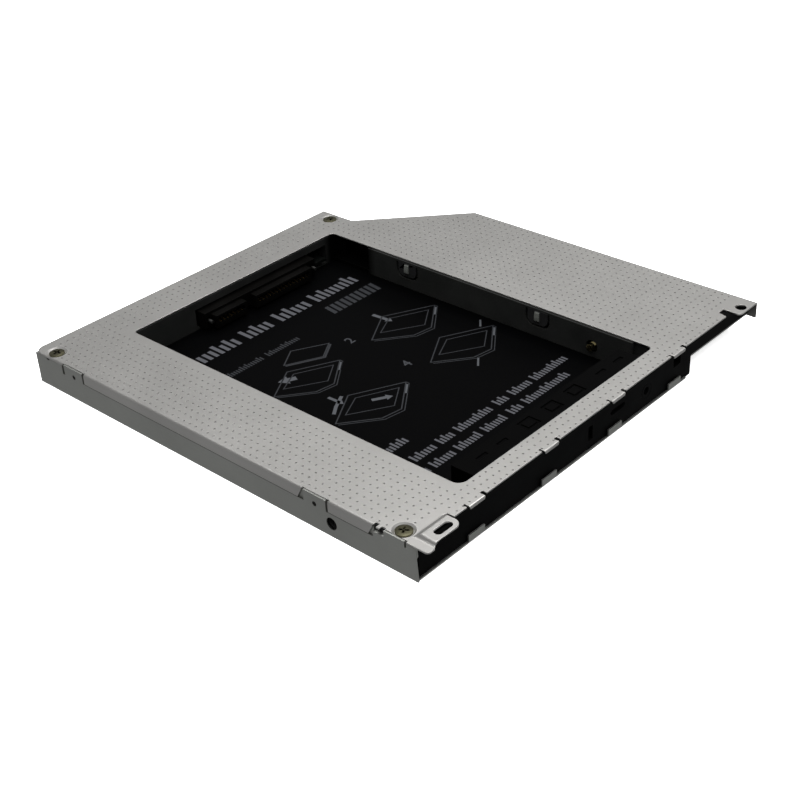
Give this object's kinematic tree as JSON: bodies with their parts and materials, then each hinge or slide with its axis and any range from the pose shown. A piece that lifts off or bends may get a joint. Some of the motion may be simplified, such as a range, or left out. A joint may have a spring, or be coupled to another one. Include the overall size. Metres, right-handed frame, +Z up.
{
  "type": "laptop drive bay caddy",
  "caption": "Thin metal-covered carrier frame that holds a 2.5 inch drive in a laptop's slim optical drive bay and adapts its connector.",
  "frame": {"origin": "middle of the footprint, on the underside of the bottom cover", "axes": "+Y from the bezel side to the connector side, +X to the right seen from the bezel side, +Z up through the window side of the cover"},
  "size_m": [0.128, 0.13, 0.0095],
  "materials": {
    "cover_sheet": "satin, with a fine grid of pressed dimples",
    "tray_sheet": "satin",
    "frame_plastic": "fine moulded texture",
    "bar_plastic": "fine moulded texture",
    "finger_plastic": "smooth moulded",
    "lock_brass": "bright",
    "insert_brass": "knurled, dull",
    "label_ink": "printed film",
    "solder_mask": "glossy black",
    "board_screw_steel": "nickel plated",
    "socket_plastic": "moulded",
    "contact_gold": "gold plated",
    "tinned_clip": "tinned",
    "plug_plastic": "moulded",
    "capacitor_ceramic": "ceramic with tinned ends",
    "resistor_body": "thick film with tinned ends",
    "cover_screw_steel": "warm nickel plating"
  },
  "bodies": {
    "carrier": {"top_cover": "cover_sheet", "bottom_cover": "tray_sheet", "bay_frame": "frame_plastic", "lock_screw_inserts": "insert_brass", "label_film": "label_ink", "adapter_board": "solder_mask", "board_screws": "board_screw_steel", "drive_socket_housing": "socket_plastic", "drive_socket_signal_contacts": "contact_gold", "drive_socket_power_contacts": "contact_gold", "drive_socket_hold_downs": "tinned_clip", "host_plug_housing": "plug_plastic", "host_plug_signal_contacts": "contact_gold", "host_plug_power_contacts": "contact_gold", "host_plug_hold_downs": "tinned_clip", "board_capacitors": "capacitor_ceramic", "board_resistors": "resistor_body", "cover_screws": "cover_screw_steel"},
    "end_stop": {"end_bar": "bar_plastic"},
    "finger_front": {"spring_finger_front": "finger_plastic"},
    "finger_rear": {"spring_finger_rear": "finger_plastic"},
    "lock_left": {"lock_screw_left": "lock_brass"},
    "lock_right": {"lock_screw_right": "lock_brass"}
  },
  "joints": [
    {"name": "end_bar_lift", "type": "slide", "parent": "carrier", "child": "end_stop", "axis": [0, 0, 1], "range_m": [0, 0.0095]},
    {"name": "finger_front_flex", "type": "hinge", "parent": "carrier", "child": "finger_front", "pos_m": [0.0291, -0.0213, 0.00775], "axis": [0, -1, 0], "range_deg": [0, 8], "stiffness_Nm_per_rad": 0.03},
    {"name": "finger_rear_flex", "type": "hinge", "parent": "carrier", "child": "finger_rear", "pos_m": [0.0291, 0.0232, 0.00775], "axis": [0, -1, 0], "range_deg": [0, 8], "stiffness_Nm_per_rad": 0.03},
    {"name": "lock_screw_left_travel", "type": "slide", "parent": "carrier", "child": "lock_left", "axis": [1, 0, 0], "range_m": [-0.0012, 0.0006]},
    {"name": "lock_screw_right_travel", "type": "slide", "parent": "carrier", "child": "lock_right", "axis": [-1, 0, 0], "range_m": [-0.0012, 0.0006]}
  ]
}
